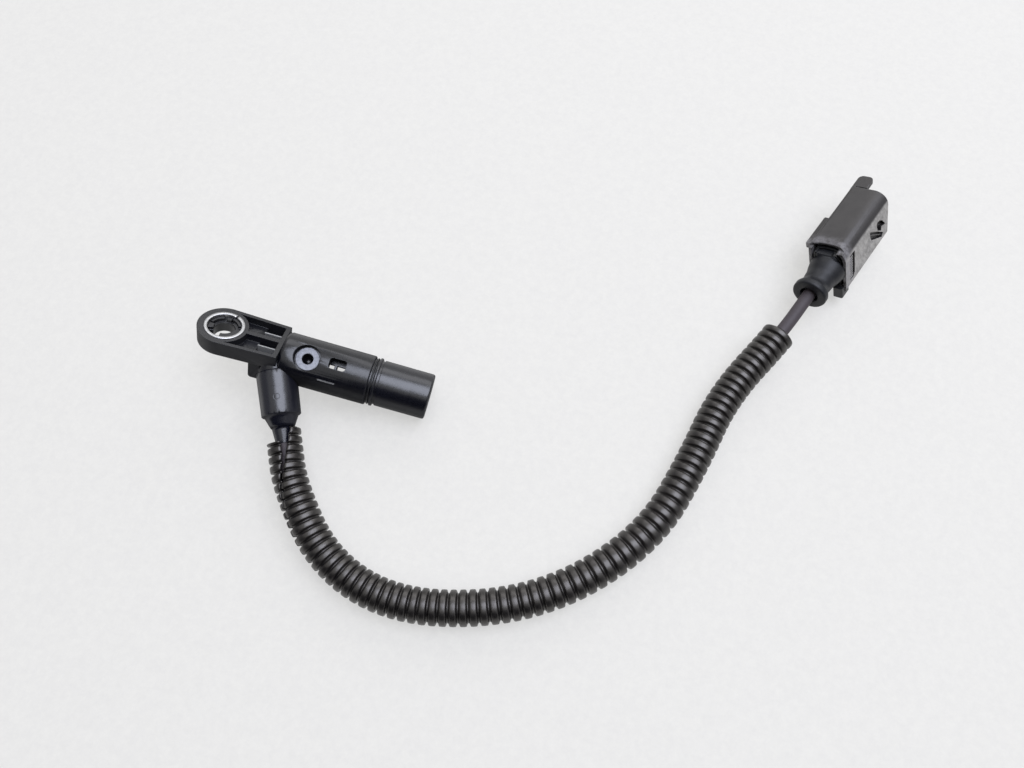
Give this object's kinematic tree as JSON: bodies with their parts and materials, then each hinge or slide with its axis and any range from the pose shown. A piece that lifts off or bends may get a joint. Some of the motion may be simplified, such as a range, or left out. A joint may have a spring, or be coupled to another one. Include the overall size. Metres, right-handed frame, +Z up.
{
  "type": "camshaft position sensor with lead",
  "caption": "Camshaft position sensor: slanted round barrel, screw eye with steel bush, short lead in split convoluted tubing and a three-way connector.",
  "frame": {"origin": "middle of the screw bush, on its axis", "axes": "+X along the barrel's heading on the table, towards the sensing nose, +Z up as the part lies at rest"},
  "size_m": [0.1928, 0.1624, 0.0248],
  "materials": {
    "nylon_black": "satin glass-filled moulding",
    "cap_black": "smooth satin moulding",
    "carrier_black": "satin",
    "bush_steel": "bright rolled steel",
    "retainer_black": "satin",
    "disc_grey": "dull grey",
    "strip_light": "light edge",
    "boot_rubber": "satin",
    "conduit_black": "satin corrugated",
    "cable_grey": "matte jacket",
    "core_insulation": "smooth",
    "connector_grey": "matte moulding",
    "cover_grey": "matte moulding",
    "conn_rubber": "matte",
    "seal_rubber": "matte",
    "pin_tin": "tinned",
    "chip_epoxy": "moulded epoxy",
    "magnet_dark": "sintered",
    "capacitor_tan": "fired",
    "lead_copper": "stamped copper alloy"
  },
  "bodies": {
    "root": {"sensor_housing": "nylon_black", "nose_cap": "cap_black", "seal_ring": "seal_rubber", "mounting_bush": "bush_steel", "screw_retainer": "retainer_black", "gate_disc": "disc_grey", "chip_carrier": "carrier_black", "hall_chip": "chip_epoxy", "bias_magnet": "magnet_dark", "capacitor": "capacitor_tan", "lead_1": "lead_copper", "lead_2": "lead_copper", "lead_3": "lead_copper", "pocket_strip_1": "strip_light", "pocket_strip_2": "strip_light", "side_strip": "strip_light", "outlet_boot": "boot_rubber", "head_core_1": "core_insulation", "head_core_2": "core_insulation", "head_core_3": "core_insulation", "cable": "cable_grey", "conduit": "conduit_black", "connector_housing": "connector_grey", "terminal_lock": "cover_grey", "rear_cover": "cover_grey", "wire_seal": "seal_rubber", "connector_boot": "conn_rubber", "pin_1": "pin_tin", "pin_2": "pin_tin", "pin_3": "pin_tin", "conn_core_1": "core_insulation", "conn_core_2": "core_insulation", "conn_core_3": "core_insulation"}
  },
  "joints": []
}
